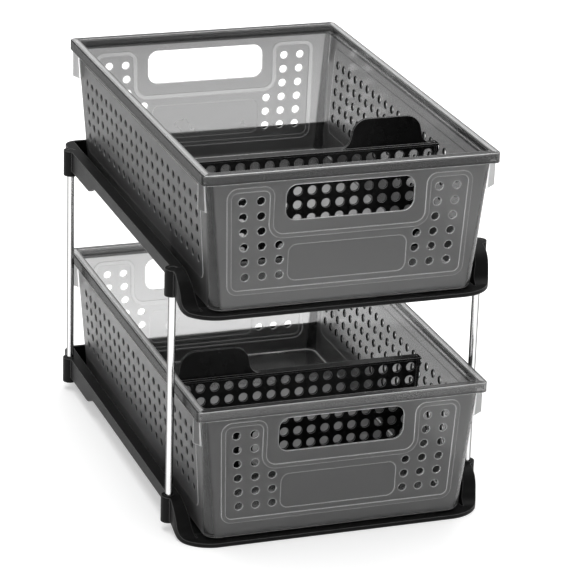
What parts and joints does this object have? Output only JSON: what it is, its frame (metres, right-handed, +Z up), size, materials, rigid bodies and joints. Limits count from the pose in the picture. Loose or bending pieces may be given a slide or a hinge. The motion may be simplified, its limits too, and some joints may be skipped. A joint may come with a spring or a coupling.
{
  "type": "under sink organizer",
  "caption": "Two-tier under sink organizer: a rack of two trays on four posts with see-through slide-out baskets and lift-out dividers.",
  "frame": {"origin": "on the floor, under the middle of the baskets", "axes": "+Z up, +X to the right seen from the front, the front with the pull-out side at -Y"},
  "size_m": [0.277, 0.396, 0.3225],
  "materials": {
    "tray_black": "satin black injection-moulded plastic",
    "smoked_plastic": "see-through smoked grey plastic, glossy",
    "divider_black": "slightly glossy black plastic",
    "bright_steel": "chromed steel tube"
  },
  "bodies": {
    "rack": {"lower_tray": "tray_black", "upper_tray": "tray_black", "post_front_left": "bright_steel", "post_front_right": "bright_steel", "post_rear_left": "bright_steel", "post_rear_right": "bright_steel"},
    "upper_basket_body": {"upper_basket": "smoked_plastic"},
    "lower_basket_body": {"lower_basket": "smoked_plastic"},
    "upper_divider_body": {"upper_divider": "divider_black"},
    "lower_divider_body": {"lower_divider": "divider_black"}
  },
  "joints": [
    {"name": "upper_basket_slide", "type": "slide", "parent": "rack", "child": "upper_basket_body", "axis": [0, -1, 0], "range_m": [0, 0.25]},
    {"name": "lower_basket_slide", "type": "slide", "parent": "rack", "child": "lower_basket_body", "axis": [0, -1, 0], "range_m": [0, 0.25]},
    {"name": "upper_divider_lift", "type": "slide", "parent": "upper_basket_body", "child": "upper_divider_body", "axis": [0, 0, 1], "range_m": [0, 0.11]},
    {"name": "lower_divider_lift", "type": "slide", "parent": "lower_basket_body", "child": "lower_divider_body", "axis": [0, 0, 1], "range_m": [0, 0.07]}
  ]
}
